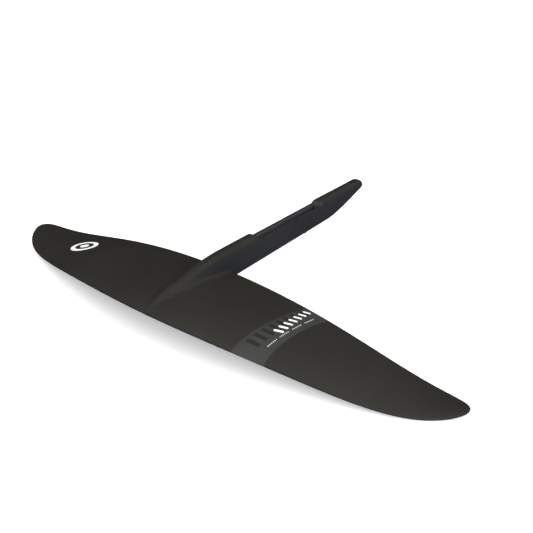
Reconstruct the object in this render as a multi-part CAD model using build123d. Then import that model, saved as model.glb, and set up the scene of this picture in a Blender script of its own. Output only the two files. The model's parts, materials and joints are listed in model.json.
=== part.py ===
"""Hydrofoil front wing moulded with its fuselage: a drooped carbon wing, a nose fairing, and a
fuselage tube that carries the mast seat and ends in a ramped tail for the stabiliser.

Frame: +X to starboard, +Y aft, +Z up. The origin is the centre of the mast channel's floor.
Millimetres."""

import os
from math import asin, cos, pi, radians, sin, sqrt, tan

from build123d import *

# Wing planform. t is the distance from the centre plane as a share of the half span.
SPAN = 750.0
ROOT_CHORD = 146.0
CHORD_LAW = (1.0, -0.210, 0.181, 0.115)  # times an ellipse, in powers of t squared
SWEEP_LAW = (0.0, 73.1, -55.0, 42.0)  # middle of the chord aft of the root's, mm
DROOP_LAW = (0.0, -75.7, -9.4, 39.2)  # height of the chord line over the root's, mm
ROOT_MID_Y = -207.5
ROOT_Z = -11.0

# Wing section
THICKNESS_ROOT = 0.120
THICKNESS_TIP = 0.095
CAMBER = 0.030
CAMBER_AT = 0.42
EDGE_HALF = 0.5  # half thickness of the trailing edge
SKIN = 1.6
CORE_REACH = (0.05, 0.84)  # shares of the root chord that the core fills
CORE_SHORTER = 0.20  # the core's aft end comes forward by this share towards the tip
CORE_TIP = 0.86  # share of the half span where the core ends

# Fuselage
HALF_WIDTH = 11.4
CREST_Z = 19.0
CREST_FALL = 1.9  # the crest aft of the mast seat is this much lower than ahead of it
BELLY_Z = -26.0
BELLY_RISE = 6.0  # the belly rises this much from the wing to the tail ramp
SQUARENESS = 3.0  # exponent of the oval section
WALL = 1.9
TUBE_STATIONS = 12  # lengths between the sections that the tube is lofted through
SPIGOT_STATIONS = 8
NOSE_Y = -278.0
FULL_SECTION_Y = -138.0  # the nose fairing has its full section from here aft
JOINT_Y = -134.0  # where the tube butts on the wing moulding
TAIL_Y = 181.0
TAIL_HALF_WIDTH = 9.2
TAPER_FROM_Y = 60.0

# Tail ramp, the stabiliser's seat
RAMP_START_Y, RAMP_START_Z = 81.0, -20.2
RAMP_ANGLE = 15.9

# Mast seat
SEAT_LENGTH = 141.0
RIM_Z = 9.6
CHANNEL_WIDTH = 12.0
CHANNEL_CORNER = 1.5
TRAY_FLOOR = 2.0
BLOCK_LENGTH = 160.0
MAST_SCREW_PITCH = 70.0
MAST_SCREWS = 2
SCREW_HOLE_R = 3.2  # clearance for M6
SLEEVE_R = 5.0
SLEEVE_HEAD_R = 7.0
SLEEVE_HEAD = 3.2
SLEEVE_FOOT_Z = -20.6
COUNTERSINK_R = 6.2

# Tail fixings
BUSH_Y = 163.5
BUSH_R = 5.8
BUSH_SUNK = 1.6  # the bush's upper end lies this far under the crest
HEAD_ROOM_R = 5.2
HEAD_ROOM_DEPTH = 6.6  # from the crest to the seat of the screw's head
TAIL_BLOCK_FROM_Y = 108.0
INSERT_Y = 124.0
INSERT_R = 4.5
INSERT_LENGTH = 12.0
THREAD_R = 2.5  # M6 tapping radius

# Spar
SPAR_AT = 0.36  # share of the chord
MIDDLE_REACH = (0.20, 0.70)  # shares of the root chord that hold the caps with room to spare
CAP_WIDTH = 22.0
CAP_THICKNESS = 1.4
WEB_THICKNESS = 2.0
SPAR_TIP = 0.88  # share of the half span

# Spigot between the wing moulding and the tube
SPIGOT_FROM_Y, SPIGOT_TO_Y = -172.0, -100.0
SPIGOT_WALL = 3.0
BOND = 0.1

HALF_SPAN = SPAN / 2


def law(coefficients, t):
    return sum(c * t ** (2 * k) for k, c in enumerate(coefficients))


def chord(t):
    return ROOT_CHORD * sqrt(max(0.0, 1 - t * t)) * law(CHORD_LAW, t)


def lead_y(t):
    return ROOT_MID_Y + law(SWEEP_LAW, t) - chord(t) / 2


def chord_z(t):
    return ROOT_Z + law(DROOP_LAW, t)


def half_thickness(s):
    """Half thickness of the section at share s of the chord, for a thickness of one chord."""
    return 5 * (0.2969 * sqrt(s) - 0.1260 * s - 0.3516 * s**2 + 0.2843 * s**3 - 0.1036 * s**4)


def camber(s):
    """Height of the mean line at share s of the chord, as a share of the chord."""
    if s < CAMBER_AT:
        return CAMBER * (2 * CAMBER_AT * s - s * s) / CAMBER_AT**2
    return CAMBER * (1 - 2 * CAMBER_AT + 2 * CAMBER_AT * s - s * s) / (1 - CAMBER_AT) ** 2


def surface_z(t, s, side, inset=0.0):
    """Height of the wing's upper (side 1) or lower (side -1) surface."""
    c = chord(t)
    share = THICKNESS_ROOT + (THICKNESS_TIP - THICKNESS_ROOT) * t * t
    edge = EDGE_HALF * min(1.0, c / 40) * s
    return chord_z(t) + c * camber(s) + side * (c * share * half_thickness(s) + edge - inset)


def wing_section(angle, count=11):
    """Closed outline of the wing at x = half span times sin(angle)."""
    t = abs(sin(angle))
    x = HALF_SPAN * sin(angle)
    lead, c = lead_y(t), chord(t)
    shares = [(1 - cos(pi * k / count)) / 2 for k in range(count + 1)]
    upper = [Vector(x, lead + c * s, surface_z(t, s, 1)) for s in reversed(shares)]
    lower = [Vector(x, lead + c * s, surface_z(t, s, -1)) for s in shares[1:]]
    return Wire([Edge.make_spline(upper + lower), Edge.make_line(lower[-1], upper[0])])


def core_section(angle, inset, reach, count=7):
    """Closed outline of the hollow inside the skins over a reach of the chord."""
    t = abs(sin(angle))
    x = HALF_SPAN * sin(angle)
    lead, c = lead_y(t), chord(t)
    fore, aft = reach[0], reach[1] - CORE_SHORTER * t * t
    shares = [fore + (aft - fore) * k / count for k in range(count + 1)]
    upper = [Vector(x, lead + c * s, surface_z(t, s, 1, inset)) for s in shares]
    lower = [Vector(x, lead + c * s, surface_z(t, s, -1, inset)) for s in shares]
    return Wire(
        [
            Edge.make_spline(upper),
            Edge.make_line(upper[-1], lower[-1]),
            Edge.make_spline(lower),
            Edge.make_line(lower[0], upper[0]),
        ]
    )


def angles(limit, count):
    return [limit * (2 * k / count - 1) for k in range(count + 1)]


def wing_outer():
    return Solid.make_loft([wing_section(a) for a in angles(radians(88.3), 24)])


def wing_inner(inset, reach=CORE_REACH):
    return Solid.make_loft([core_section(a, inset, reach) for a in angles(asin(CORE_TIP), 20)])


def growth(y):
    """Share of the full section that the nose fairing has at y."""
    if y >= FULL_SECTION_Y:
        return 1.0
    return 1 - ((FULL_SECTION_Y - y) / (FULL_SECTION_Y - NOSE_Y)) ** 1.9


def fuselage_half_width(y):
    narrow = max(0.0, (y - TAPER_FROM_Y) / (TAIL_Y - TAPER_FROM_Y))
    return (HALF_WIDTH - (HALF_WIDTH - TAIL_HALF_WIDTH) * narrow**1.5) * growth(y) ** 0.7


def crest_z(y):
    share = min(1.0, max(0.0, y / SEAT_LENGTH + 0.5))
    fall = CREST_FALL * share * share * (3 - 2 * share)
    return ROOT_Z + (CREST_Z - ROOT_Z) * growth(y) - fall


def belly_z(y):
    rise = BELLY_RISE * max(0.0, (y - JOINT_Y) / (RAMP_START_Y - JOINT_Y))
    return ROOT_Z + (BELLY_Z - ROOT_Z) * growth(y) + rise


def fuselage_section(y, inset=0.0, count=24):
    """Closed oval section of the fuselage at y."""
    middle = (crest_z(y) + belly_z(y)) / 2
    half_w = fuselage_half_width(y) - inset
    half_h = (crest_z(y) - belly_z(y)) / 2 - inset
    points = []
    for k in range(count):
        a = 2 * pi * k / count
        across = abs(sin(a)) ** (2 / SQUARENESS) * (1 if sin(a) >= 0 else -1)
        up = abs(cos(a)) ** (2 / SQUARENESS) * (1 if cos(a) >= 0 else -1)
        points.append(Vector(half_w * across, y, middle - half_h * up))
    return Wire([Edge.make_spline(points, periodic=True)])


def fuselage(y_from, y_to, inset=0.0, count=24):
    step = (y_to - y_from) / count
    return Solid.make_loft([fuselage_section(y_from + step * k, inset) for k in range(count + 1)])


def slab(y_from, y_to, z_from=-200.0, z_to=200.0, half_width=60.0):
    size = (2 * half_width, y_to - y_from, z_to - z_from)
    return Pos(0, (y_from + y_to) / 2, (z_from + z_to) / 2) * Box(*size)


def below_parting():
    """Everything under the mould's parting surface, which holds every chord line."""
    reach = 1.05
    line = [(HALF_SPAN * reach * k / 8, chord_z(reach * abs(k) / 8)) for k in range(-8, 9)]
    profile = Wire(
        [
            Edge.make_spline([Vector(x, -330, z) for x, z in line]),
            Edge.make_line((line[-1][0], -330, line[-1][1]), (line[-1][0], -330, -200)),
            Edge.make_line((line[-1][0], -330, -200), (line[0][0], -330, -200)),
            Edge.make_line((line[0][0], -330, -200), (line[0][0], -330, line[0][1])),
        ]
    )
    return Solid.extrude(Face(profile), Vector(0, 260, 0))


def spar_strip(width):
    """Upright band of the given width that follows the spar's line from tip to tip."""
    ts = [SPAR_TIP * k / 6 for k in range(-6, 7)]
    line = [(HALF_SPAN * t, lead_y(abs(t)) + SPAR_AT * chord(abs(t))) for t in ts]
    front = [Vector(x, y - width / 2, -120) for x, y in line]
    rear = [Vector(x, y + width / 2, -120) for x, y in line]
    outline = Wire(
        [
            Edge.make_spline(front),
            Edge.make_line(front[-1], rear[-1]),
            Edge.make_spline(rear),
            Edge.make_line(rear[0], front[0]),
        ]
    )
    return Solid.extrude(Face(outline), Vector(0, 0, 160))


def ramp_below():
    """Everything under the tail ramp's plane."""
    block = Pos(0, 100, -50) * Box(80, 200, 100)
    return Pos(0, RAMP_START_Y, RAMP_START_Z) * Rot(RAMP_ANGLE, 0, 0) * block


def ramp_frame(y):
    """A location on the ramp at y whose +Z is the ramp's outward normal, down and aft."""
    z = RAMP_START_Z + (y - RAMP_START_Y) * tan(radians(RAMP_ANGLE))
    return Pos(0, y, z) * Rot(180 + RAMP_ANGLE, 0, 0)


def upright(r, z_from, z_to, y=0.0):
    return Pos(0, y, (z_from + z_to) / 2) * Cylinder(r, z_to - z_from)


def mast_screw_places():
    first = -MAST_SCREW_PITCH * (MAST_SCREWS - 1) / 2
    return [first + MAST_SCREW_PITCH * k for k in range(MAST_SCREWS)]


def mast_channel():
    box = slab(-SEAT_LENGTH / 2, SEAT_LENGTH / 2, 0.0, 40.0, CHANNEL_WIDTH / 2)
    low = box.edges().filter_by(Axis.Y).group_by(Axis.Z)[0]
    return fillet(low, CHANNEL_CORNER)


def seat_cut():
    """What the mast seat takes out of the fuselage: all above the rims, and the channel."""
    return slab(-SEAT_LENGTH / 2, SEAT_LENGTH / 2, RIM_Z, 60.0) + mast_channel()


def mast_sleeve(y):
    body = upright(SLEEVE_R, SLEEVE_FOOT_Z, -TRAY_FLOOR, y) + upright(
        SLEEVE_HEAD_R, SLEEVE_FOOT_Z, SLEEVE_FOOT_Z + SLEEVE_HEAD, y
    )
    sink = COUNTERSINK_R - SCREW_HOLE_R
    cone = Pos(0, y, SLEEVE_FOOT_Z + sink / 2) * Cone(COUNTERSINK_R, SCREW_HOLE_R, sink)
    return body - upright(SCREW_HOLE_R, SLEEVE_FOOT_Z - 1, 1.0, y) - cone


def mast_sleeve_hole(y):
    sleeve = upright(SLEEVE_R, SLEEVE_FOOT_Z, -TRAY_FLOOR, y)
    head = upright(SLEEVE_HEAD_R, -60.0, SLEEVE_FOOT_Z + SLEEVE_HEAD, y)
    return sleeve + head + upright(SCREW_HOLE_R, -TRAY_FLOOR, 1.0, y)


def ramp_height(y):
    return RAMP_START_Z + (y - RAMP_START_Y) * tan(radians(RAMP_ANGLE))


def head_seat_depth():
    """Distance along the bush's axis from the ramp to the seat of the screw's head."""
    return (crest_z(BUSH_Y) - HEAD_ROOM_DEPTH - ramp_height(BUSH_Y)) * cos(radians(RAMP_ANGLE))


def tail_bush():
    """Metal cup through the tail, with room for a screw's head at its upper end."""
    reach = 60.0
    solid = Pos(0, 0, -reach / 2) * Cylinder(BUSH_R, reach) - Cylinder(SCREW_HOLE_R, 3 * reach)
    solid -= Pos(0, 0, -head_seat_depth() - reach / 2) * Cylinder(HEAD_ROOM_R, reach)
    return (ramp_frame(BUSH_Y) * solid) & slab(0, 300, -60, crest_z(BUSH_Y) - BUSH_SUNK)


def tail_bush_hole():
    return ramp_frame(BUSH_Y) * Cylinder(BUSH_R, 80)


def tail_insert():
    solid = Cylinder(INSERT_R, INSERT_LENGTH) - Cylinder(THREAD_R, INSERT_LENGTH + 2)
    return ramp_frame(INSERT_Y) * Pos(0, 0, -INSERT_LENGTH / 2) * solid


def tail_insert_hole():
    reach = 10.0
    drill = Cylinder(INSERT_R, INSERT_LENGTH + reach)
    return ramp_frame(INSERT_Y) * Pos(0, 0, (reach - INSERT_LENGTH) / 2) * drill


def tail_plan(r, end_y):
    """Plan outline of the tail, with a round end of radius r."""
    return slab(-140, end_y - r) + upright(r, -200, 200, end_y - r)


def largest(shape):
    return max(shape.solids(), key=lambda s: s.volume)


def wing_nodes(nodes, wing, hollow, under, spigot_solid):
    """Skins, spar and foam cores of the wing."""
    shell = wing - hollow - spigot_solid
    nodes["upper_skin"] = largest(shell - under)
    nodes["lower_skin"] = largest(shell & under)

    cap_band = (spar_strip(CAP_WIDTH) & hollow) - wing_inner(SKIN + CAP_THICKNESS, MIDDLE_REACH)
    nodes["spar_cap_upper"] = largest(cap_band - under)
    nodes["spar_cap_lower"] = largest(cap_band & under)
    room = hollow - nodes["spar_cap_upper"] - nodes["spar_cap_lower"]
    nodes["shear_web"] = largest(room & spar_strip(WEB_THICKNESS))
    room -= nodes["shear_web"]

    centre = slab(-400, 0, half_width=HALF_WIDTH - WALL)
    foams = sorted((room - centre).solids(), key=lambda s: -s.volume)[:4]
    for side, sign in (("right", 1), ("left", -1)):
        pair = sorted((f for f in foams if f.center().X * sign > 0), key=lambda f: f.center().Y)
        nodes[f"core_front_{side}"], nodes[f"core_rear_{side}"] = pair
    middle = sorted(((room & centre) - slab(SPIGOT_FROM_Y, 0)).solids(), key=lambda s: -s.volume)
    fore, aft = sorted(middle[:2], key=lambda f: f.center().Y)
    nodes["core_front_middle"], nodes["core_rear_middle"] = fore, aft


def fairing_nodes(nodes, wing, under):
    """Fairings over and under the wing's middle, each with its foam."""
    fairing_hollow = fuselage(-248.0, JOINT_Y, WALL)
    shell = fuselage(NOSE_Y + 2, JOINT_Y) - wing - fairing_hollow
    nodes["nose_fairing"] = largest(shell - under)
    nodes["belly_fairing"] = largest(shell & under)
    foam = fairing_hollow - wing - slab(SPIGOT_FROM_Y, 0)
    nodes["nose_filler"] = largest(foam - under)
    nodes["belly_filler"] = largest(foam & under)


def tube_nodes(nodes):
    """Fuselage tube in half shells, mast seat, tail block, fillers and metal fixings."""
    whole = fuselage(JOINT_Y, TAIL_Y, 0.0, TUBE_STATIONS) & tail_plan(TAIL_HALF_WIDTH, TAIL_Y)
    hollow = fuselage(JOINT_Y, TAIL_Y, WALL, TUBE_STATIONS)
    hollow &= tail_plan(TAIL_HALF_WIDTH - WALL, TAIL_Y - WALL)
    hollow -= Pos(0, 0, WALL) * ramp_below()
    seat_half = SEAT_LENGTH / 2
    hollow -= slab(-seat_half - WALL, seat_half + WALL, RIM_Z)
    sleeve_holes = [mast_sleeve_hole(y) for y in mast_screw_places()]
    tail_holes = [tail_bush_hole(), tail_insert_hole()]

    tube = whole - ramp_below() - hollow - seat_cut()
    for hole in [*sleeve_holes, *tail_holes]:
        tube -= hole
    lengths = {"front": (-300, -seat_half), "seat": (-seat_half, seat_half), "rear": (seat_half, 300)}
    for name, (y_from, y_to) in lengths.items():
        right_half = slab(y_from, y_to, half_width=50).moved(Location((50, 0, 0)))
        left_half = slab(y_from, y_to, half_width=50).moved(Location((-50, 0, 0)))
        nodes[f"fuselage_{name}_right"] = largest(tube & right_half)
        nodes[f"fuselage_{name}_left"] = largest(tube & left_half)

    block_room = slab(-BLOCK_LENGTH / 2, BLOCK_LENGTH / 2, -60, -TRAY_FLOOR)
    tray_room = slab(-seat_half - WALL, seat_half + WALL, -TRAY_FLOOR, RIM_Z)
    tray = (hollow & tray_room) - mast_channel()
    block = hollow & block_room
    for hole in sleeve_holes:
        tray -= hole
        block -= hole
    floor_room = slab(-seat_half - WALL, seat_half + WALL, -TRAY_FLOOR, 0)
    nodes["tray_floor"] = largest(tray & floor_room)
    walls = sorted((tray - floor_room - END_WALLS).solids(), key=lambda s: s.center().X)
    nodes["tray_wall_left"], nodes["tray_wall_right"] = walls[0], walls[-1]
    ends = sorted(((tray - floor_room) & END_WALLS).solids(), key=lambda s: s.center().Y)
    nodes["tray_end_front"], nodes["tray_end_rear"] = ends[0], ends[-1]
    nodes["mast_block"] = largest(block)
    for k, y in enumerate(mast_screw_places(), 1):
        nodes[f"mast_sleeve_{k}"] = mast_sleeve(y)

    rest = hollow - tray_room - block_room
    nodes["front_filler"] = largest(rest & slab(SPIGOT_TO_Y, 0))
    nodes["rear_filler"] = largest(rest & slab(0, TAIL_BLOCK_FROM_Y))
    tail_block = rest & slab(TAIL_BLOCK_FROM_Y, TAIL_Y)
    for hole in tail_holes:
        tail_block -= hole
    nodes["tail_block"] = largest(tail_block)
    nodes["tail_bush"] = largest(tail_bush())
    nodes["tail_insert"] = tail_insert()


END_WALLS = slab(-200, -SEAT_LENGTH / 2) + slab(SEAT_LENGTH / 2, 200)


def main():
    os.makedirs("parts", exist_ok=True)
    nodes = {}
    wing, hollow, under = wing_outer(), wing_inner(SKIN), below_parting()
    spigot_solid = fuselage(SPIGOT_FROM_Y, SPIGOT_TO_Y, WALL + BOND, SPIGOT_STATIONS)
    spigot_hollow = fuselage(SPIGOT_FROM_Y, SPIGOT_TO_Y, WALL + SPIGOT_WALL, SPIGOT_STATIONS)
    wing_nodes(nodes, wing, hollow, under, spigot_solid)
    fairing_nodes(nodes, wing, under)
    nodes["spigot"] = largest(spigot_solid - spigot_hollow)
    nodes["spigot_core"] = spigot_hollow
    tube_nodes(nodes)

    for name, shape in nodes.items():
        export_step(shape, f"parts/{name}.step")
        print(name, round(shape.volume), shape.bounding_box().size)


main()
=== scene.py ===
"""Hydrofoil front wing moulded with its fuselage, seen from its starboard bow.

+X is starboard, +Y aft and +Z up. Lengths are millimetres until a mesh is made. The outer shells follow the
CAD's laws, with the wing and the fuselage blended into each other. What is inside them comes from the CAD.
"""

import json
from math import asin, atan, cos, pi, radians, sin, sqrt, tan

import bmesh
import bpy
import numpy as np
from mathutils import Matrix, Vector


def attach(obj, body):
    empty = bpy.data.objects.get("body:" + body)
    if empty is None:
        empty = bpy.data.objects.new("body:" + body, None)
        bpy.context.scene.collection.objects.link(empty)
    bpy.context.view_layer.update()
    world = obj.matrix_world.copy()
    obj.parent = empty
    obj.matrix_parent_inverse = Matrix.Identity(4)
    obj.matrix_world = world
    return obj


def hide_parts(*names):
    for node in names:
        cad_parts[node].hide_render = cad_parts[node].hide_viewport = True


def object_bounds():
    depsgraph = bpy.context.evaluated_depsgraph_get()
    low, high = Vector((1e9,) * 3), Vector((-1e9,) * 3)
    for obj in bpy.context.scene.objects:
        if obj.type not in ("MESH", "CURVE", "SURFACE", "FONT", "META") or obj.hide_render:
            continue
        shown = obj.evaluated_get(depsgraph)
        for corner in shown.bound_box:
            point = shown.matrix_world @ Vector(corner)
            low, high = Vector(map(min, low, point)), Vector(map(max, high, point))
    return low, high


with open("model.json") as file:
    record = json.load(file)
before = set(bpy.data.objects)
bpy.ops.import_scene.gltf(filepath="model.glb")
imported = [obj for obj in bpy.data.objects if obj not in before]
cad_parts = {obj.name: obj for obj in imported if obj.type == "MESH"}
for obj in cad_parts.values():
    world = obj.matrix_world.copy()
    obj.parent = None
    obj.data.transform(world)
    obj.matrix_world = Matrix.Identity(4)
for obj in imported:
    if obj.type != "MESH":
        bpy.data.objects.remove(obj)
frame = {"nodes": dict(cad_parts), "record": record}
cad_low, cad_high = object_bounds()

PER_M = 1000.0  # millimetres in a metre

# Wing. Laws are sums of even powers of t, the share of the half span
HALF_SPAN = 375.0
ROOT_CHORD = 146.0
CHORD_LAW = (1.0, -0.210, 0.181, 0.115)
SWEEP_LAW = (0.0, 73.1, -55.0, 42.0)
DROOP_LAW = (0.0, -75.7, -9.4, 39.2)
ROOT_MID_Y, ROOT_Z = -207.5, -11.0
THICK_ROOT, THICK_TIP = 0.120, 0.095
CAMBER, CAMBER_AT = 0.030, 0.42
EDGE_HALF, EDGE_THINS_BELOW = 0.5, 40.0  # half the blunt edge, and the chord below which it gets thinner
SKIN = 1.6

# Fuselage
NOSE_Y, TE_Y = ROOT_MID_Y - ROOT_CHORD / 2, ROOT_MID_Y + ROOT_CHORD / 2
FULL_Y, TAIL_Y = -138.0, 181.0
HALF_WIDTH, CREST_Z, BELLY_Z = 11.4, 19.0, -26.0
SQUARENESS = 3.0
GROWTH_BEND, WIDTH_BEND, LEAST_GROWTH = 1.9, 0.62, 0.02
CREST_FALL, BELLY_RISE = 1.9, 6.0
TAIL_HALF_WIDTH, TAPER_FROM_Y, TAPER_BEND = 9.2, 60.0, 1.5
END_LENGTH, END_PLAN, END_ROLL = 13.0, 3.5, 2.2  # the tail's rounded end, and its squareness in two views

# Nose fairing: its ridge starts under the wing's skin and climbs over the first shares of the root chord
FAIRING_SUNK, FAIRING_RISE = 3.0, 9.0
FAIRING_FROM, FAIRING_LENGTH, FAIRING_BEND = 0.02, 0.30, 0.7
RIDGE_BLEND = 6.0

# Stabiliser ramp under the tail
RAMP_Y, RAMP_Z, RAMP_TILT = 81.0, -20.2, radians(15.9)
RAMP_SLOPE = tan(RAMP_TILT)

# Mast seat, with its floor's surface at z 0
SEAT_HALF, RIM_Z, CHANNEL_HALF, CORNER = 70.5, 9.6, 6.0, 1.5
LIP = 0.45
TRAY_FLOOR = 2.0
SHOULDERS = ((-SEAT_HALF, 1, 9.0, 0.8), (SEAT_HALF, -1, 2.5, 0.4))  # y, way in, length, soft share
FOOT, FOOT_FROM = 0.5, 0.93  # fillet at a shoulder's foot, and the share of its height where it starts

# Metal parts and their bores
SCREW_R = 3.2
MAST_SCREW_PITCH = 70.0
SLEEVE_R, SLEEVE_HEAD_R, SLEEVE_HEAD_Z = 5.0, 7.0, -17.4
CUP_Y, CUP_R, CUP_SUNK = 163.5, 5.8, 1.6
HEAD_ROOM_R, HEAD_ROOM_DEPTH = 5.2, 6.6
INSERT_Y, INSERT_R, INSERT_LENGTH = 124.0, 4.5, 12.0
PLAY = 0.02
THROUGH = 60.0  # far enough to leave the tube

# Meshes
ROWS, RAYS, OUTER_RAYS = 96, 46, 110
N_LOW, N_SIDE, N_TOP, N_RIM = 20, 22, 34, 12
SHOULDER_RINGS, END_RINGS = 20, 20
ROUND_SEGMENTS, REVOLVED_SEGMENTS = 64, 72

# Blend between the wing and the fuselage, whose rays start from a point inside the wing
BLEND_HALF, BLEND_DEPTH = 44.0, 11.0
TOP_BLEND, UNDER_BLEND, EDGE_BLEND = 15.0, 6.0, 9.0
FLARE_LENGTH, FLARE_HALF, LEAST_BLEND = 16.0, 26.0, 0.05

# Ring places behind the wing's trailing edge and behind the ramp's start
FLARE_AT = (0.0, 0.15, 0.4, 0.8, 1.4, 2.2, 3.2, 4.5, 6.0, 8.0, 10.5, 13.0, 15.9)
RAMP_AT = (0.0, 0.3, 0.8, 1.6, 2.8, 4.5, 7.0, 10.0)

TUBE_NODES = [f"fuselage_{part}_{side}" for part in ("front", "seat", "rear") for side in ("left", "right")]
TRAY_NODES = ["tray_floor", "tray_wall_left", "tray_wall_right", "tray_end_front", "tray_end_rear"]


# Laws of the wing
def law(coefficients, t):
    return sum(k * t ** (2 * n) for n, k in enumerate(coefficients))


def chord(t):
    return ROOT_CHORD * np.sqrt(np.maximum(0.0, 1 - t * t)) * law(CHORD_LAW, t)


def lead_y(t):
    return ROOT_MID_Y + law(SWEEP_LAW, t) - chord(t) / 2


def plane_z(t):
    return ROOT_Z + law(DROOP_LAW, t)


def half_thickness(s):
    """Four-digit thickness form for a unit thickness, at share s of the chord."""
    return 5 * (0.2969 * np.sqrt(s) - 0.1260 * s - 0.3516 * s**2 + 0.2843 * s**3 - 0.1036 * s**4)


def camber(s):
    fore = CAMBER * (2 * CAMBER_AT * s - s * s) / CAMBER_AT**2
    aft = CAMBER * (1 - 2 * CAMBER_AT + 2 * CAMBER_AT * s - s * s) / (1 - CAMBER_AT) ** 2
    return np.where(s < CAMBER_AT, fore, aft)


def wing_z(t, s, side):
    """Height of the wing's upper (side 1) or lower (side -1) surface."""
    c = chord(t)
    thickness = THICK_ROOT + (THICK_TIP - THICK_ROOT) * t * t
    edge = EDGE_HALF * np.minimum(1.0, c / EDGE_THINS_BELOW) * s
    return plane_z(t) + c * camber(s) + side * (c * thickness * half_thickness(s) + edge)


# Laws of the fuselage
def smooth_min(a, b, k):
    h = np.maximum(k - np.abs(a - b), 0.0) / k
    return np.minimum(a, b) - h * h * h * k / 6.0


def growth(y):
    """Share of the full section that the fuselage has reached at y."""
    return 1 - ((FULL_Y - np.minimum(y, FULL_Y)) / (FULL_Y - NOSE_Y)) ** GROWTH_BEND


def half_width(y):
    narrowing = max(0.0, (y - TAPER_FROM_Y) / (TAIL_Y - TAPER_FROM_Y)) ** TAPER_BEND
    full = HALF_WIDTH - (HALF_WIDTH - TAIL_HALF_WIDTH) * narrowing
    return full * max(LEAST_GROWTH, growth(y)) ** WIDTH_BEND


def crest_z(y):
    ridge = ROOT_Z + (CREST_Z - ROOT_Z) * growth(y)
    if y < FULL_Y:
        s = min(1.0, max(0.0, (y - NOSE_Y) / ROOT_CHORD))
        climb = min(1.0, max(0.0, s - FAIRING_FROM) / FAIRING_LENGTH) ** FAIRING_BEND
        fairing = float(wing_z(0.0, s, 1)) - FAIRING_SUNK + FAIRING_RISE * climb
        ridge = -smooth_min(-ridge, -fairing, RIDGE_BLEND)
    along = min(1.0, max(0.0, y / (2 * SEAT_HALF) + 0.5))
    return float(ridge) - CREST_FALL * along * along * (3 - 2 * along)


def belly_z(y):
    rise = BELLY_RISE * max(0.0, (y - TE_Y) / (RAMP_Y - TE_Y))
    return ROOT_Z + (BELLY_Z - ROOT_Z) * growth(y) + rise


def ramp_z(y):
    return RAMP_Z + (y - RAMP_Y) * RAMP_SLOPE


def body_gap(x, z, y):
    """Rough distance outside the fuselage's section at y."""
    a = half_width(y)
    m, b = (crest_z(y) + belly_z(y)) / 2, (crest_z(y) - belly_z(y)) / 2
    return a * ((np.abs(x / a) ** SQUARENESS + np.abs((z - m) / b) ** SQUARENESS) ** (1 / SQUARENESS) - 1)


def solve_ray(f, reach, steps=44):
    """Distance along each ray at which f(r) turns from inside to outside."""
    low, high = np.zeros_like(reach), reach.copy()
    for _ in range(steps):
        mid = (low + high) / 2
        inside = f(mid) < 0
        low = np.where(inside, mid, low)
        high = np.where(inside, high, mid)
    return (low + high) / 2


# Mesh helpers
def add_object(name, mesh):
    obj = bpy.data.objects.new(name, mesh)
    bpy.context.scene.collection.objects.link(obj)
    return obj


def mesh_from(name, bm):
    mesh = bpy.data.meshes.new(name)
    bm.to_mesh(mesh)
    bm.free()
    return mesh


def make_mesh(name, verts, faces):
    mesh = bpy.data.meshes.new(name)
    mesh.from_pydata([tuple(float(c) / PER_M for c in v) for v in verts], [], faces)
    bm = bmesh.new()
    bm.from_mesh(mesh)
    bmesh.ops.remove_doubles(bm, verts=bm.verts, dist=2e-6)
    bmesh.ops.dissolve_degenerate(bm, edges=bm.edges, dist=1e-6)
    bmesh.ops.recalc_face_normals(bm, faces=bm.faces)
    bm.to_mesh(mesh)
    bm.free()
    for p in mesh.polygons:
        p.use_smooth = True
    return add_object(name, mesh)


def sharpen(obj, degrees):
    """Mark the edges that bend by more than that angle as sharp."""
    bm = bmesh.new()
    bm.from_mesh(obj.data)
    for e in bm.edges:
        if len(e.link_faces) == 2 and e.calc_face_angle(0) > radians(degrees):
            e.smooth = False
    bm.to_mesh(obj.data)
    bm.free()


def grid_faces(rows, cols, start=0, closed=False, flip=False):
    faces = []
    for i in range(rows - 1):
        here, there = start + i * cols, start + (i + 1) * cols
        for j in range(cols if closed else cols - 1):
            k = (j + 1) % cols
            face = (here + j, there + j, there + k, here + k)
            faces.append(face[::-1] if flip else face)
    return faces


def revolve(name, profile, at):
    """Ring-shaped piece from a closed (r, z) profile, put in the frame at."""
    verts = []
    for i in range(REVOLVED_SEGMENTS):
        a = 2 * pi * i / REVOLVED_SEGMENTS
        verts += [(r * cos(a), r * sin(a), z) for r, z in profile]
    n = len(profile)
    faces = []
    for i in range(REVOLVED_SEGMENTS):
        here, there = i * n, (i + 1) % REVOLVED_SEGMENTS * n
        for j in range(n):
            k = (j + 1) % n
            faces.append((here + j, here + k, there + k, there + j))
    obj = make_mesh(name, verts, faces)
    obj.data.transform(at)
    sharpen(obj, 35)
    return obj


def cutter(r, low, high, at):
    """Cylinder from low to high on the Z axis of the frame at."""
    bm = bmesh.new()
    bmesh.ops.create_cone(bm, cap_ends=True, segments=ROUND_SEGMENTS, radius1=r / PER_M, radius2=r / PER_M,
                          depth=(high - low) / PER_M)
    bm.transform(at @ Matrix.Translation((0, 0, (low + high) / 2 / PER_M)))
    return add_object("cutter", mesh_from("cutter", bm))


def bore(target, cutters):
    for c in cutters:
        cut = target.modifiers.new("cut", "BOOLEAN")
        cut.operation, cut.solver, cut.object = "DIFFERENCE", "EXACT", c
    graph = bpy.context.evaluated_depsgraph_get()
    done = bpy.data.meshes.new_from_object(target.evaluated_get(graph))
    target.modifiers.clear()
    target.data = done
    for c in cutters:
        bpy.data.objects.remove(c)


# Wing shells with the fairings blended in
def chord_shares():
    """Shares of the chord, close together at both edges but never coinciding."""
    u = np.linspace(0, 1, ROWS)
    return 0.5 * (1 - np.cos(pi * u ** 1.05)) * 0.999 + 0.001 * u


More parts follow.
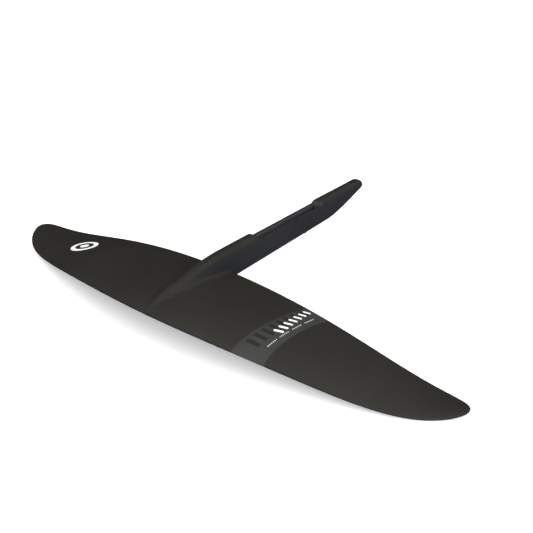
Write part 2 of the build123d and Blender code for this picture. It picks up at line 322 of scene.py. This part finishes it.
def blend_width(s, side):
    """Size of the fillet between wing and fuselage: small at the nose, the trailing edge's own at the end."""
    blend = (TOP_BLEND if side > 0 else UNDER_BLEND) * min(1.0, 0.12 + s * 2.2)
    return blend + (EDGE_BLEND - blend) * max(0.0, (s - 0.75) / 0.25) ** 2


def central_curve(s, side):
    """(x, z) points of half of the blended section at chord share s, from the middle outwards."""
    y = float(lead_y(0.0) + chord(0.0) * s)
    start_z = float(wing_z(0.0, s, side)) - side * BLEND_DEPTH
    theta = np.linspace(0, 1, RAYS) ** 1.15 * atan(BLEND_HALF / BLEND_DEPTH)
    dx, dz = np.sin(theta), side * np.cos(theta)
    blend = blend_width(s, side)

    def gap(r):
        x, z = r * dx, start_z + r * dz
        wing_gap = side * (z - wing_z(np.abs(x) / HALF_SPAN, s, side))
        return smooth_min(wing_gap, body_gap(x, z, y), blend)

    r = solve_ray(gap, np.full(RAYS, 2 * BLEND_HALF + 2.0))
    return r * dx, start_z + r * dz


def wing_shell(name, side):
    """Upper (side 1) or lower (side -1) skin, closed between its outer and its inner surface."""
    outer_t = np.sin(np.linspace(asin(BLEND_HALF * 1.03 / HALF_SPAN), radians(89.2), OUTER_RAYS))
    outer, inner = [], []
    for s in chord_shares():
        central_x, central_z = central_curve(s, side)
        xs = np.concatenate([central_x, outer_t * HALF_SPAN])
        t = xs / HALF_SPAN
        y = lead_y(t) + chord(t) * s
        height = side * (np.concatenate([central_z, wing_z(outer_t, s, side)]) - plane_z(t))
        outer.append((xs, y, plane_z(t) + side * np.maximum(height, 0.0)))
        inner.append((xs, y, plane_z(t) + side * np.maximum(height - SKIN, 0.0)))
    verts, faces = [], []
    cols = 2 * (RAYS + OUTER_RAYS) - 1
    for block, flip in ((outer, False), (inner, True)):
        faces += grid_faces(ROWS, cols, len(verts), flip=flip)
        for xs, y, z in block:
            verts += [(-a, b, c) for a, b, c in zip(xs[:0:-1], y[:0:-1], z[:0:-1])]
            verts += list(zip(xs, y, z))
    n = ROWS * cols
    left_tip = range(0, n, cols)
    right_tip = range(cols - 1, n, cols)
    for loop in (range(cols), range(n - cols, n), left_tip, right_tip):
        faces += [(a, b, n + b, n + a) for a, b in zip(loop, loop[1:])]
    obj = make_mesh(name, verts, faces)
    sharpen(obj, 50)
    return obj


# Fuselage tube as rings, each from half a section of (x, z) points that starts at the belly
def oval(y):
    """Half of the closed section at y as three runs: the belly, the side up to the rim, and the top."""
    a = half_width(y)
    top, low = crest_z(y), belly_z(y)
    m, b = (top + low) / 2, (top - low) / 2

    def width_at(z):
        return a * max(0.0, 1 - abs((z - m) / b) ** SQUARENESS) ** (1 / SQUARENESS)

    def height_at(x):
        return b * max(0.0, 1 - abs(min(x, a) / a) ** SQUARENESS) ** (1 / SQUARENESS)

    turn_x = a * 0.72
    turn_z = m - height_at(turn_x)
    cut = ramp_z(y) if y > RAMP_Y else low
    if cut > turn_z:
        turn_x, turn_z = width_at(cut), cut
    belly = []
    for k in range(N_LOW):
        x = turn_x * k / N_LOW
        belly.append((x, max(cut, m - height_at(x))))
    rim = RIM_Z if top > RIM_Z + 2 else (top + m) / 2
    side = [(turn_x, turn_z)]
    for k in range(1, N_SIDE + 1):
        z = turn_z + (rim - turn_z) * (1 - cos(pi * k / N_SIDE)) / 2
        side.append((width_at(z), z))
    x_rim = side[-1][0]
    roof = []
    for k in range(1, N_RIM + 1):
        x = x_rim + (CHANNEL_HALF - x_rim) * (1 - cos(pi / 2 * k / N_RIM)) ** 0.8
        roof.append((x, m + height_at(x)))
    for k in range(N_RIM + 1, N_TOP + 1):
        x = CHANNEL_HALF * (1 - (k - N_RIM) / (N_TOP - N_RIM))
        roof.append((x, m + height_at(x)))
    return belly, side, roof


def arc(x, z, r, start, turn, share):
    """Point at a share of an arc round (x, z)."""
    a = start + turn * share
    return (x + r * cos(a), z + r * sin(a))


def seat_top(x_rim):
    """The seat's half section from the rim's outer edge to the middle of the channel's floor."""
    outer_end, inner_from, wall_end, corner_end = 0.3, 0.75, 0.35, 0.6
    points = []
    for k in range(1, N_RIM + 1):
        u = k / N_RIM
        if u < outer_end:
            points.append(arc(x_rim - LIP, RIM_Z - LIP, LIP, 0, pi / 2, u / outer_end))
        elif u < inner_from:
            across = (u - outer_end) / (inner_from - outer_end)
            points.append((x_rim - LIP + (CHANNEL_HALF + 2 * LIP - x_rim) * across, RIM_Z))
        else:
            turned = (u - inner_from) / (1 - inner_from)
            points.append(arc(CHANNEL_HALF + LIP, RIM_Z - LIP, LIP, pi / 2, pi / 2, turned))
    n = N_TOP - N_RIM
    for k in range(1, n + 1):
        u = k / n
        if u < wall_end:
            points.append((CHANNEL_HALF, RIM_Z - LIP + (CORNER - RIM_Z + LIP) * u / wall_end))
        elif u < corner_end:
            turned = (u - wall_end) / (corner_end - wall_end)
            points.append(arc(CHANNEL_HALF - CORNER, CORNER, CORNER, 0, -pi / 2, turned))
        else:
            points.append(((CHANNEL_HALF - CORNER) * (1 - (u - corner_end) / (1 - corner_end)), 0.0))
    return points


def closed_half(y):
    return sum(oval(y), [])


def seat_half(y):
    belly, side, _ = oval(y)
    return belly + side + seat_top(side[-1][0])


def flared_half(y):
    """Half section just aft of the wing, with the fillet that closes round the end of the trailing edge."""
    behind = y - TE_Y
    half = np.array(closed_half(y))
    dx, dz = half[:, 0], half[:, 1] - ROOT_Z
    size = np.hypot(dx, dz)
    dx, dz = dx / size, dz / size
    blend = max(LEAST_BLEND, EDGE_BLEND * (1 - behind / FLARE_LENGTH))

    def gap(r):
        x, z = r * dx, ROOT_Z + r * dz
        wing_gap = np.sqrt(np.maximum(0, np.abs(z - ROOT_Z) - EDGE_HALF) ** 2 + behind**2)
        return smooth_min(wing_gap, body_gap(x, z, y), blend)

    r = solve_ray(gap, np.minimum(size + 30.0, FLARE_HALF / np.maximum(dx, 1e-3)))
    return list(zip(r * dx, ROOT_Z + r * dz))


def tail_end_half(y):
    """Half section in the tail's rounded end, where the sides close in and the top rolls down to the ramp."""
    along = (y - TAIL_Y + END_LENGTH) / END_LENGTH
    across = (1 - along**END_PLAN) ** (1 / END_PLAN)
    high = (1 - along**END_ROLL) ** (1 / END_ROLL)
    ramp = ramp_z(y)
    return [(x * across, ramp + (z - ramp) * high) for x, z in closed_half(y)]


def shoulder(y0, way, length, reach):
    """Rings from the closed section to the seat's, over a soft shoulder at y0 and a fillet at its foot."""
    out = []
    for k in range(SHOULDER_RINGS + 1):
        down = (1 - cos(pi * k / SHOULDER_RINGS)) / 2
        back = length * (1 - sqrt(max(0.0, 1 - (1 - min(1, down / reach)) ** 2)))
        foot = FOOT * (1 - sqrt(max(0.0, 1 - max(0.0, (down - FOOT_FROM) / (1 - FOOT_FROM)) ** 2)))
        y = y0 + way * (foot - back)
        belly, side, roof = oval(y)
        seat = seat_top(side[-1][0])
        half = belly + side + [(a + (c - a) * down, b + (d - b) * down) for (a, b), (c, d) in zip(roof, seat)]
        out.append((half, y))
    return out


def spread(make_half, start, end, count):
    return [(make_half(y), y) for y in np.linspace(start, end, count)]


def fuselage():
    """The tube from the wing's trailing edge to the tail, with the mast seat let into its top."""
    front, rear = SHOULDERS
    end_from = TAIL_Y - END_LENGTH
    halves = [(flared_half(TE_Y + b), TE_Y + b) for b in FLARE_AT]
    halves += spread(closed_half, TE_Y + FLARE_LENGTH + 1.0, -SEAT_HALF - 9.5, 16)
    halves += shoulder(*front)
    halves += spread(seat_half, -SEAT_HALF + 1.5, SEAT_HALF - 1.5, 34)
    halves += shoulder(*rear)[::-1]
    halves += spread(closed_half, SEAT_HALF + 3.2, RAMP_Y - 0.5, 8)
    halves += [(closed_half(RAMP_Y + b), RAMP_Y + b) for b in RAMP_AT]
    halves += spread(closed_half, RAMP_Y + 14.0, end_from - 0.5, 24)
    for k in range(END_RINGS + 1):
        y = end_from + END_LENGTH * sin(radians(88.0) * k / END_RINGS)
        halves.append((tail_end_half(y), y))
    verts = []
    for half, y in halves:
        mirrored = [(-x, z) for x, z in half[-2:0:-1]]
        verts += [(x, y, z) for x, z in half + mirrored]
    cols = len(verts) // len(halves)
    faces = grid_faces(len(halves), cols, closed=True)
    faces.append(tuple(range(cols)))
    faces.append(tuple(range(len(verts) - 1, len(verts) - cols - 1, -1)))
    return make_mesh("fuselage", verts, faces)


# Metal parts in the tail, and the bores
def upright(y):
    return Matrix.Translation((0, y / PER_M, 0))


def on_ramp(y):
    """Frame on the ramp at y whose +Z points out of the tail, down and aft."""
    return Matrix.Translation((0, y / PER_M, ramp_z(y) / PER_M)) @ Matrix.Rotation(pi + RAMP_TILT, 4, "X")


def bores():
    cutters = []
    for y in (-MAST_SCREW_PITCH / 2, MAST_SCREW_PITCH / 2):
        cutters.append(cutter(SLEEVE_R + PLAY, -THROUGH, -TRAY_FLOOR, upright(y)))
        cutters.append(cutter(SLEEVE_HEAD_R + PLAY, -THROUGH, SLEEVE_HEAD_Z, upright(y)))
        cutters.append(cutter(SCREW_R, -THROUGH / 4, THROUGH / 4, upright(y)))
    cutters.append(cutter(CUP_R + PLAY, -THROUGH, THROUGH, on_ramp(CUP_Y)))
    cutters.append(cutter(INSERT_R + PLAY, -INSERT_LENGTH, INSERT_LENGTH, on_ramp(INSERT_Y)))
    return cutters


def tail_cup():
    """Metal cup for the stabiliser's rear screw, cut level just under the crest."""
    above = -THROUGH / 2
    seat = (ramp_z(CUP_Y) + HEAD_ROOM_DEPTH - crest_z(CUP_Y)) * cos(RAMP_TILT)
    profile = [(SCREW_R, 0.0), (CUP_R, 0.0), (CUP_R, above), (CUP_R - 0.15, above - 0.1)]
    profile += [(HEAD_ROOM_R, above - 0.1), (HEAD_ROOM_R, seat), (SCREW_R + 0.4, seat), (SCREW_R, seat + 0.4)]
    cup = revolve("tail_cup", profile, on_ramp(CUP_Y))
    axis = on_ramp(CUP_Y).to_3x3() @ Vector((0, 0, 1))
    level = (crest_z(CUP_Y) - CUP_SUNK) / PER_M
    for v in cup.data.vertices:
        if v.co.z > level:
            v.co -= axis * ((v.co.z - level) / axis.z)
    return cup


def trimmed(name, start, end):
    """A CAD filling cut back by the plane through two (y, z) points, so that it stays under a rounded end."""
    node = frame["nodes"][name]
    bm = bmesh.new()
    bm.from_mesh(node.data)
    bm.transform(node.matrix_world)
    bmesh.ops.remove_doubles(bm, verts=bm.verts, dist=1e-6)
    point = Vector((0, *start)) / PER_M
    away = Vector((0, start[1] - end[1], end[0] - start[0])).normalized()
    everything = bm.verts[:] + bm.edges[:] + bm.faces[:]
    cut = bmesh.ops.bisect_plane(bm, geom=everything, plane_co=point, plane_no=away, clear_outer=True)
    rim = [e for e in cut["geom_cut"] if isinstance(e, bmesh.types.BMEdge)]
    bmesh.ops.holes_fill(bm, edges=rim)
    obj = add_object(name + "_trimmed", mesh_from(name + "_trimmed", bm))
    sharpen(obj, 35)
    return obj


# Materials
def smooth_step(tree, value, lo, hi, a, b):
    """Map lo..hi onto a..b, softly at both ends. Each may be a number or a socket."""
    n = tree.nodes.new("ShaderNodeMapRange")
    n.interpolation_type = "SMOOTHSTEP"
    for socket, v in zip(n.inputs, (value, lo, hi, a, b)):
        wire(tree, v, socket)
    return n.outputs[0]


def wire(tree, value, socket):
    if isinstance(value, (int, float, tuple)):
        socket.default_value = value
    else:
        tree.links.new(value, socket)


class Nodes:
    """A material, with short names for the shader arithmetic in it. x, y and z are in millimetres."""

    def __init__(self, name):
        self.mat = bpy.data.materials.new(name)
        self.mat.use_nodes = True
        self.tree = self.mat.node_tree
        self.bsdf = self.tree.nodes["Principled BSDF"]
        self.pos = self.tree.nodes.new("ShaderNodeTexCoord").outputs["Object"]
        split = self.tree.nodes.new("ShaderNodeSeparateXYZ")
        self.tree.links.new(self.pos, split.inputs[0])
        self.x, self.y, self.z = (self.op("MULTIPLY", split.outputs[i], PER_M) for i in range(3))

    def finish(self, base, roughness):
        wire(self.tree, base, self.bsdf.inputs["Base Color"])
        wire(self.tree, roughness, self.bsdf.inputs["Roughness"])
        return self.mat

    def op(self, kind, a, b=0.0):
        n = self.tree.nodes.new("ShaderNodeMath")
        n.operation = kind
        wire(self.tree, a, n.inputs[0])
        wire(self.tree, b, n.inputs[1])
        return n.outputs[0]

    def add(self, first, *others):
        for v in others:
            first = self.op("ADD", first, v)
        return first

    def mul(self, first, *others):
        for v in others:
            first = self.op("MULTIPLY", first, v)
        return first

    def sub(self, a, b):
        return self.op("SUBTRACT", a, b)

    def top(self, first, *others):
        for v in others:
            first = self.op("MAXIMUM", first, v)
        return first

    def ramp(self, value, lo, hi, a=0.0, b=1.0):
        return smooth_step(self.tree, value, lo, hi, a, b)

    def between(self, value, lo, hi, soft):
        rise = self.ramp(value, self.sub(lo, soft), self.add(lo, soft))
        fall = self.ramp(value, self.sub(hi, soft), self.add(hi, soft), 1.0, 0.0)
        return self.mul(rise, fall)

    def distance(self, a, b):
        return self.op("SQRT", self.add(self.mul(a, a), self.mul(b, b)))

    def noise(self, scale, detail=3.0, rough=0.55, stretch=None):
        n = self.tree.nodes.new("ShaderNodeTexNoise")
        n.inputs["Scale"].default_value = scale
        n.inputs["Detail"].default_value = detail
        n.inputs["Roughness"].default_value = rough
        where = self.pos
        if stretch:
            m = self.tree.nodes.new("ShaderNodeMapping")
            m.inputs["Scale"].default_value = stretch
            self.tree.links.new(self.pos, m.inputs[0])
            where = m.outputs[0]
        self.tree.links.new(where, n.inputs["Vector"])
        return n.outputs[0]

    def normal_z(self):
        geometry = self.tree.nodes.new("ShaderNodeNewGeometry")
        split = self.tree.nodes.new("ShaderNodeSeparateXYZ")
        self.tree.links.new(geometry.outputs["Normal"], split.inputs[0])
        return split.outputs[2]

    def mix(self, share, a, b):
        n = self.tree.nodes.new("ShaderNodeMix")
        n.data_type = "RGBA"
        wire(self.tree, share, n.inputs[0])
        wire(self.tree, a, n.inputs[6])
        wire(self.tree, b, n.inputs[7])
        return n.outputs[2]

    def bump(self, height, distance, strength):
        n = self.tree.nodes.new("ShaderNodeBump")
        n.inputs["Strength"].default_value = strength
        n.inputs["Distance"].default_value = distance
        wire(self.tree, height, n.inputs["Height"])
        self.tree.links.new(n.outputs[0], self.bsdf.inputs["Normal"])

    def twill(self, u, v, tow):
        """(which tow is on top, height) of a 2 by 2 twill with tows of that width."""
        a, b = self.op("DIVIDE", u, tow), self.op("DIVIDE", v, tow)
        cell_a, cell_b = self.op("FLOOR", a), self.op("FLOOR", b)
        step = self.op("MODULO", self.add(cell_a, cell_b, 4000.0), 4.0)
        over = self.op("LESS_THAN", step, 1.5)
        crowns = []
        for place, cell in ((a, cell_a), (b, cell_b)):
            off = self.sub(self.sub(place, cell), 0.5)
            crowns.append(self.sub(1.0, self.mul(off, off, 3.2)))
        height = self.add(self.mul(crowns[0], over), self.mul(crowns[1], self.sub(1.0, over)))
        return over, height


def colour(r, g, b):
    return (r, g, b, 1.0)


WARM = colour(0.0125, 0.0117, 0.0098), colour(0.0250, 0.0235, 0.0200)
# Painted shade: a cooler, darker copy of the carbon for surfaces that face sideways or down
PAINTED_SIDE_SHADE = colour(0.0090, 0.0098, 0.0118), colour(0.0180, 0.0195, 0.0240)
# Painted light: a much lighter carbon for the forward-facing step at the seat's rear end, standing in for the
# front lamp's light on it
SEAT_END_PAINTED_LIGHT = colour(0.040, 0.038, 0.032), colour(0.060, 0.057, 0.049)
# Painted light: the channel's lining is lightened and blued, standing in for light inside the channel where
# shade falls
TRAY_PAINTED_LIGHT = colour(0.041, 0.044, 0.052), colour(0.064, 0.069, 0.080)
BARE = colour(0.010, 0.010, 0.010), colour(0.028, 0.028, 0.028)
LAYER_PITCH = 3.1  # faint stripes where the cloth's layers end


def carbon(name, shades, tow, roughness, printed=False, side_view=False, shaded_sides=False):
    """Carbon laminate. Where asked, surfaces that face sideways or down are mixed towards a cooler, darker
    copy, which is painted shade for the sides.
    """
    n = Nodes(name)
    u, v = n.x, n.y
    if side_view:
        u, v = n.add(n.y, n.mul(n.x, 0.6)), n.sub(n.z, n.mul(n.x, 0.6))
    over, height = n.twill(n.mul(n.add(u, v), sqrt(0.5)), n.mul(n.sub(u, v), sqrt(0.5)), tow)
    cloud = n.noise(9.0)
    fine = n.noise(420.0, 2.0, 0.6)
    strands = n.noise(60.0, 2.0, 0.6, (30.0, 2.0, 30.0))
    weave = n.add(n.mul(over, 0.10), n.mul(height, 0.10))
    tone = n.add(weave, n.mul(cloud, 0.45), n.mul(fine, 0.18), n.mul(strands, 0.15))
    drift = n.add(n.y, n.mul(n.noise(7.0, 1.0), 5.0), n.mul(n.x, 0.06))
    layers = n.op("SINE", n.mul(drift, 2 * pi / LAYER_PITCH))
    tone = n.ramp(n.add(tone, n.mul(layers, 0.13)), 0.15, 0.95)
    base = n.mix(tone, *shades)
    if shaded_sides:
        # Painted shade: the more a surface faces sideways or down, the more it takes the cooler, darker copy
        painted_shade_share = n.ramp(n.normal_z(), 0.15, 0.75, 0.85, 0.0)
        base = n.mix(painted_shade_share, base, n.mix(tone, *PAINTED_SIDE_SHADE))
    smears = n.mul(n.noise(14.0, 4.0, 0.6), 0.07)
    rough = n.add(roughness - 0.06, smears, n.mul(over, 0.012), n.mul(fine, 0.03))
    if printed:
        base, rough = wing_print(n, base, rough)
    n.bsdf.inputs["IOR"].default_value = 1.5
    n.bsdf.inputs["Specular IOR Level"].default_value = 0.10
    n.bump(n.add(n.mul(height, 0.5), n.mul(over, 0.1), n.mul(fine, 0.35)), 0.00002, 0.35)
    return n.finish(base, rough)


# Plain graphics printed on the wing. x is measured outwards on the starboard side
BAND_IN, BAND_OUT, BAND_SLANT, BAND_BOW = 134.0, 166.2, 0.055, 0.00075
BAND_BOW_Y, BAND_SLANT_Y = -198.0, -150.0
BAND_SHADES = colour(0.029, 0.029, 0.0275), colour(0.040, 0.040, 0.0385)
BAR_COUNT, BAR_FROM_Y, BAR_PITCH, BAR_WIDTH, BAR_SLANT = 8, -247.0, 13.2, 6.2, 0.18
BAR_IN, BAR_IN_STEP, BAR_OUT, BAR_SLANT_X = 133.5, 0.25, 150.0, 140.0
BAR_SHADE = colour(0.014, 0.014, 0.013)
DAB_COUNT, DAB_FROM_Y, DAB_PITCH, DAB_X, DAB_X_STEP = 7, -206.0, 10.6, 149.4, 1.05
DAB_LENGTH, DAB_LENGTH_STEP, DAB_WIDTH, DAB_WIDTH_STEP, DAB_TURN = 8.4, 0.3, 3.9, 0.08, 0.55
DOT_X, DOT_PITCH, DOT_FROM_Y, DOT_TO_Y = 157.6, 3.1, -240.0, -143.0
DOT_GROUP, DOT_GROUP_FROM, DOT_GROUP_TO = 24.0, 2.0, 20.0
DOT_ORIGIN_Y = -600.0  # a multiple of the group, ahead of the wing
RING_X, RING_Y, RING_IN, RING_OUT, SPOT_R = -222.0, -187.0, 13.5, 20.0, 6.6
PRINT_WHITE = colour(0.86, 0.86, 0.85)


def printed_bars(n):
    bars = []
    for k in range(BAR_COUNT):
        lean = n.mul(n.sub(n.x, BAR_SLANT_X), BAR_SLANT)
        along = n.sub(n.y, n.add(lean, BAR_FROM_Y + BAR_PITCH * k))
        across = n.between(n.x, BAR_IN + BAR_IN_STEP * k, BAR_OUT, 0.3)
        bars.append(n.mul(n.between(along, 0.0, BAR_WIDTH, 0.3), across))
    return n.top(*bars)


def printed_dabs(n):
    dabs = []
    for k in range(DAB_COUNT):
        dy = n.sub(n.y, DAB_FROM_Y + DAB_PITCH * k)
        dx = n.sub(n.x, DAB_X - DAB_X_STEP * k)
        along = n.add(n.mul(dx, cos(DAB_TURN)), n.mul(dy, sin(DAB_TURN)))
        across = n.sub(n.mul(dy, cos(DAB_TURN)), n.mul(dx, sin(DAB_TURN)))
        past = n.top(n.sub(n.op("ABSOLUTE", along), (DAB_LENGTH - DAB_LENGTH_STEP * k) / 2), 0.0)
        edge = (DAB_WIDTH - DAB_WIDTH_STEP * k) / 2
        dabs.append(n.ramp(n.distance(past, across), edge - 0.25, edge + 0.25, 1.0, 0.0))
    return n.top(*dabs)


def printed_dots(n):
    from_origin = n.sub(n.y, DOT_ORIGIN_Y)
    cell = n.op("FRACT", n.op("DIVIDE", from_origin, DOT_PITCH))
    gap = n.distance(n.mul(n.sub(cell, 0.5), DOT_PITCH), n.sub(n.x, DOT_X))
    dots = n.mul(n.ramp(gap, 0.55, 0.95, 1.0, 0.0), n.between(n.y, DOT_FROM_Y, DOT_TO_Y, 0.2))
    group = n.between(n.op("MODULO", from_origin, DOT_GROUP), DOT_GROUP_FROM, DOT_GROUP_TO, 0.2)
    return n.mul(dots, group, 0.85)


def printed_ring(n):
    radius = n.distance(n.sub(n.x, RING_X), n.sub(n.y, RING_Y))
    spot = n.ramp(radius, SPOT_R - 0.3, SPOT_R + 0.3, 1.0, 0.0)
    return n.top(n.between(radius, RING_IN, RING_OUT, 0.3), spot)


def wing_print(n, base, rough):
    """A grey band with bars, dabs and dots to starboard, and a ring to port; the dabs, dots and ring only
    where the surface faces up.
    """
    bow = n.mul(n.op("POWER", n.op("ABSOLUTE", n.sub(n.y, BAND_BOW_Y)), 2.0), BAND_BOW)
    inner = n.add(n.mul(n.sub(n.y, BAND_SLANT_Y), BAND_SLANT), BAND_IN)
    band = n.between(n.x, inner, n.add(BAND_OUT, bow), 0.35)
    fade = n.ramp(n.x, 126.0, 150.0, 0.72, 1.0)
    base = n.mix(n.mul(band, fade), base, n.mix(n.noise(35.0), *BAND_SHADES))
    base = n.mix(n.mul(printed_bars(n), 0.92), base, BAR_SHADE)
    facing_up = n.op("GREATER_THAN", n.normal_z(), 0.05)
    white = n.mul(n.top(printed_dabs(n), printed_dots(n), printed_ring(n)), facing_up)
    return n.mix(white, base, PRINT_WHITE), n.add(rough, n.mul(white, 0.12), n.mul(band, 0.04))


def steel(name):
    n = Nodes(name)
    turned = n.noise(300.0, 2.0, 0.5, (1.0, 1.0, 14.0))
    n.bsdf.inputs["Metallic"].default_value = 1.0
    n.bump(turned, 0.00002, 0.4)
    base = n.mix(turned, colour(0.20, 0.20, 0.197), colour(0.34, 0.34, 0.335))
    return n.finish(base, n.add(0.24, n.mul(n.noise(120.0), 0.16)))


def foam(name):
    n = Nodes(name)
    cells = n.tree.nodes.new("ShaderNodeTexVoronoi")
    cells.inputs["Scale"].default_value = 900.0
    n.tree.links.new(n.pos, cells.inputs["Vector"])
    n.bump(cells.outputs[0], 0.0003, 0.5)
    grain = n.noise(30.0)
    base = n.mix(grain, colour(0.62, 0.56, 0.40), colour(0.76, 0.71, 0.55))
    return n.finish(base, n.add(0.78, n.mul(grain, 0.12)))


def block(name):
    n = Nodes(name)
    chips = n.noise(160.0, 4.0, 0.65)
    n.bump(chips, 0.0001, 0.4)
    base = n.mix(chips, colour(0.018, 0.018, 0.019), colour(0.045, 0.045, 0.048))
    return n.finish(base, n.add(0.42, n.mul(chips, 0.2)))


MATERIALS = {
    # The wing and the body carry painted shade on their upright and downward faces
    "carbon_wing": carbon("carbon_wing", WARM, 1.1, 0.50, printed=True, shaded_sides=True),
    "carbon_body": carbon("carbon_body", WARM, 1.1, 0.48, side_view=True, shaded_sides=True),
    # Painted light on the seat's rear step
    "seat_end": carbon("seat_end", SEAT_END_PAINTED_LIGHT, 1.1, 0.55),
    # Painted light inside the channel
    "tray": carbon("tray", TRAY_PAINTED_LIGHT, 1.1, 0.50, side_view=True),
    "carbon_bare": carbon("carbon_bare", BARE, 2.0, 0.55),
    "foam": foam("foam"),
    "dense_block": block("dense_block"),
    "steel_insert": steel("steel_insert"),
}


# The visual model
def dress_seat(body):
    """The channel's lining and the step at the seat's rear end take lighter carbon, which is painted light in
    the channel and on the forward-facing step.
    """
    body.data.materials.append(MATERIALS["tray"])
    body.data.materials.append(MATERIALS["seat_end"])
    for p in body.data.polygons:
        c = p.center * PER_M
        # Painted light: the forward-facing step at the seat's rear end takes the lighter carbon
        if abs(c.y - SEAT_HALF) < 0.6 and c.z > 0.5 and abs(p.normal.y) > 0.6:
            p.material_index = 2
        # Painted light: the faces inside the channel take the lightened lining
        if abs(c.x) < CHANNEL_HALF + 0.2 and abs(c.y) < SEAT_HALF - 0.4 and -1.0 < c.z < RIM_Z - 0.1:
            p.material_index = 1


def show(obj, nodes, slot):
    """Put a piece in the visual model in place of those CAD nodes."""
    obj.data.materials.clear()
    obj.data.materials.append(MATERIALS[slot])
    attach(obj, "root")
    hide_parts(*nodes)


def build():
    upper, lower = wing_shell("wing_upper", 1), wing_shell("wing_lower", -1)
    body = fuselage()
    cutters = bores()
    cup = tail_cup()
    bore(body, cutters)
    sharpen(body, 34)
    show(upper, ["upper_skin", "nose_fairing"], "carbon_wing")
    show(lower, ["lower_skin", "belly_fairing"], "carbon_wing")
    show(cup, ["tail_bush"], "steel_insert")
    show(body, [*TUBE_NODES, *TRAY_NODES], "carbon_body")
    dress_seat(body)
    show(trimmed("front_filler", (-82.0, 17.2), (-72.4, 10.5)), ["front_filler"], "foam")
    show(trimmed("tail_block", (170.0, 15.3), (179.1, 11.0)), ["tail_block"], "dense_block")


def dress_cad_nodes():
    for part in frame["record"]["subparts"]:
        node = frame["nodes"][part["node"]]
        for s in node.material_slots:
            s.material = MATERIALS[part["material_slot"]]
        if not node.material_slots:
            node.data.materials.append(MATERIALS[part["material_slot"]])


# Studio
FLOOR_HALF, FLOOR_GLOW = 6.0, 0.25
HORIZON, ZENITH, ZENITH_AT, FAR_SIDE = 0.18, 1.78, 0.95, 0.12
FAR_WAY = (-0.80, 0.60, 0.0)
LIGHTS = [
    ("key", (-0.9, -1.6, 2.0), (0, -0.1, 0), 1.6, 7.6),
    ("front", (-0.5, -2.3, 0.8), (0, 0, 0), 1.5, 15.5),
    ("side", (1.6, -0.6, 0.35), (0, 0, 0), 1.0, 25.0),
]


def lay_floor():
    """Pale floor just under the wing tips, kept out of glossy reflections."""
    bm = bmesh.new()
    bmesh.ops.create_grid(bm, x_segments=1, y_segments=1, size=FLOOR_HALF)
    floor = add_object("floor", mesh_from("floor", bm))
    floor.location = (0, 0, cad_low[2] - 0.0005)
    floor.visible_glossy = False
    n = Nodes("floor")
    n.bsdf.inputs["Emission Color"].default_value = colour(1, 1, 1)
    n.bsdf.inputs["Emission Strength"].default_value = FLOOR_GLOW
    floor.data.materials.append(n.finish(colour(0.93, 0.93, 0.93), 0.9))


def light_sky():
    """White sky, brightest overhead and dim beyond the tail and the port tip, as the camera sees it."""
    world = bpy.data.worlds.new("studio")
    bpy.context.scene.world = world
    world.use_nodes = True
    tree = world.node_tree
    way = tree.nodes.new("ShaderNodeTexCoord").outputs["Generated"]
    split = tree.nodes.new("ShaderNodeSeparateXYZ")
    tree.links.new(way, split.inputs[0])
    lift = smooth_step(tree, split.outputs[2], 0.0, ZENITH_AT, HORIZON, ZENITH)
    away = tree.nodes.new("ShaderNodeVectorMath")
    away.operation = "DOT_PRODUCT"
    away.inputs[1].default_value = FAR_WAY
    tree.links.new(way, away.inputs[0])
    dim = smooth_step(tree, away.outputs["Value"], 0.0, 0.9, 1.0, FAR_SIDE)
    both = tree.nodes.new("ShaderNodeMath")
    both.operation = "MULTIPLY"
    tree.links.new(lift, both.inputs[0])
    tree.links.new(dim, both.inputs[1])
    background = tree.nodes["Background"]
    background.inputs[0].default_value = colour(1, 1, 1)
    tree.links.new(both.outputs[0], background.inputs[1])


def hang_lights():
    for name, spot, aim, size, power in LIGHTS:
        light = bpy.data.lights.new(name, "AREA")
        light.size = size
        light.energy = power
        obj = add_object(name, light)
        obj.location = spot
        obj.rotation_euler = (Vector(aim) - Vector(spot)).to_track_quat("-Z", "Y").to_euler()


# Camera, placed in metres from the middle of the wing's root
AZIMUTH, ELEVATION = radians(39.32), radians(28.69)
LENS, SENSOR = 62.07, 36.0
CAMERA_RIGHT, CAMERA_UP, CAMERA_BACK = 0.1020, 0.0308, 1.1719


def set_camera():
    a, e = AZIMUTH, ELEVATION
    right = Vector((cos(a), sin(a), 0))
    up = Vector((-sin(a) * sin(e), cos(a) * sin(e), cos(e)))
    back = Vector((sin(a) * cos(e), -cos(a) * cos(e), sin(e)))
    root = Vector((0, ROOT_MID_Y, ROOT_Z)) / PER_M
    cam = bpy.data.cameras.new("camera")
    cam.sensor_width = SENSOR
    cam.lens = LENS
    cam.dof.use_dof = False
    obj = add_object("camera", cam)
    pose = Matrix((right, up, back)).transposed().to_4x4()
    pose.translation = right * CAMERA_RIGHT + up * CAMERA_UP + back * CAMERA_BACK + root
    obj.matrix_world = pose
    bpy.context.scene.camera = obj
    bpy.context.scene.view_settings.view_transform = "Standard"


build()
dress_cad_nodes()
lay_floor()
light_sky()
hang_lights()
set_camera()
